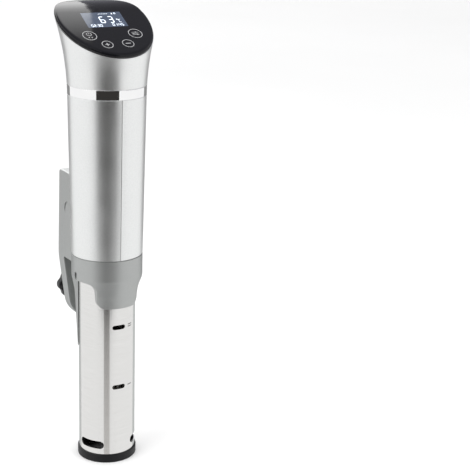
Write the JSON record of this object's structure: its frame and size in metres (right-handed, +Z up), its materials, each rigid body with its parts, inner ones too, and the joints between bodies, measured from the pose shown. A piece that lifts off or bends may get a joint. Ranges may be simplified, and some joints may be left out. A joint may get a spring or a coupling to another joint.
{
  "type": "sous vide circulator",
  "caption": "Stick immersion circulator: sloping touch panel on a flared head, tapered metal body, screw clamp behind, steel water sleeve with ports, twist-off foot.",
  "frame": {"origin": "centre of the foot cap's underside, on the axis of the steel sleeve", "axes": "+Z up the sleeve to the control panel, -Y the front that the panel faces, +Y the clamp side, +X to the right seen from behind the clamp's opposite side, the front"},
  "size_m": [0.0816, 0.1197, 0.4],
  "materials": {
    "satin_aluminium": "satin",
    "mirror_chrome": "polished",
    "stainless_steel": "fine brushed",
    "grey_plastic": "fine matt",
    "gloss_black": "high gloss",
    "black_plastic": "semi gloss",
    "foot_plastic": "matt",
    "black_rubber": "matt",
    "inner_plastic": "plain",
    "brass": "machined",
    "circuit_board": "solder mask",
    "component_black": "plain",
    "iron_core": "laminated",
    "heat_sink_metal": "extruded",
    "display_glass": "lit segments"
  },
  "bodies": {
    "housing": {"body_sleeve": "satin_aluminium", "bulkhead": "inner_plastic", "bulkhead_seal": "black_rubber", "buzzer": "component_black", "chrome_trim_ring": "mirror_chrome", "clamp_bracket": "grey_plastic", "collar": "grey_plastic", "control_board": "circuit_board", "control_panel_lens": "gloss_black", "cord_gland": "black_rubber", "display_module": "display_glass", "filter_capacitor": "component_black", "head_shell": "satin_aluminium", "heat_sink": "heat_sink_metal", "heater_gland_nuts": "stainless_steel", "heater_rods": "stainless_steel", "heater_triac": "component_black", "inner_frame": "inner_plastic", "level_electrodes": "stainless_steel", "mains_fuse": "component_black", "mains_terminals": "component_black", "motor_bearings": "stainless_steel", "motor_can": "heat_sink_metal", "motor_mount": "inner_plastic", "motor_mount_screws": "stainless_steel", "motor_stator": "iron_core", "panel_bezel": "black_plastic", "panel_carrier": "inner_plastic", "power_board": "circuit_board", "power_relay": "component_black", "power_transformer": "iron_core", "shaft_bushes": "brass", "shaft_guide": "inner_plastic", "shaft_seal": "black_rubber", "temperature_probe": "stainless_steel", "threaded_insert": "brass"},
    "pump": {"drive_shaft": "stainless_steel", "shaft_coupling": "brass", "motor_shaft": "stainless_steel", "impeller": "inner_plastic", "motor_rotor": "iron_core", "cooling_fan": "inner_plastic"},
    "clamp_slider": {"pressure_pad": "inner_plastic", "pad_facing": "black_rubber"},
    "clamp_turner": {"clamp_screw": "stainless_steel", "clamp_knob": "black_plastic"},
    "skirt": {"steel_sleeve": "stainless_steel", "bayonet_ring": "stainless_steel"},
    "foot": {"foot_cap": "foot_plastic"}
  },
  "joints": [
    {"name": "pump_spin", "type": "hinge", "parent": "housing", "child": "pump", "pos_m": [0, 0, 0.1], "axis": [0, 0, 1], "continuous": true},
    {"name": "clamp_slide", "type": "slide", "parent": "housing", "child": "clamp_slider", "axis": [0, -1, 0], "range_m": [0, 0.006]},
    {"name": "clamp_turn", "type": "hinge", "parent": "clamp_slider", "child": "clamp_turner", "pos_m": [0, 0.06, 0.136], "axis": [0, -1, 0], "range_deg": [0, 1440]},
    {"name": "skirt_pull", "type": "slide", "parent": "housing", "child": "skirt", "axis": [0, 0, -1], "range_m": [0, 0.17]},
    {"name": "foot_twist", "type": "hinge", "parent": "skirt", "child": "foot", "pos_m": [0, 0, 0.004], "axis": [0, 0, 1], "range_deg": [0, 35]}
  ],
  "couplings": [
    {"joint": "clamp_turn", "follows": "clamp_slide", "rad_per_m": 4188.8}
  ]
}
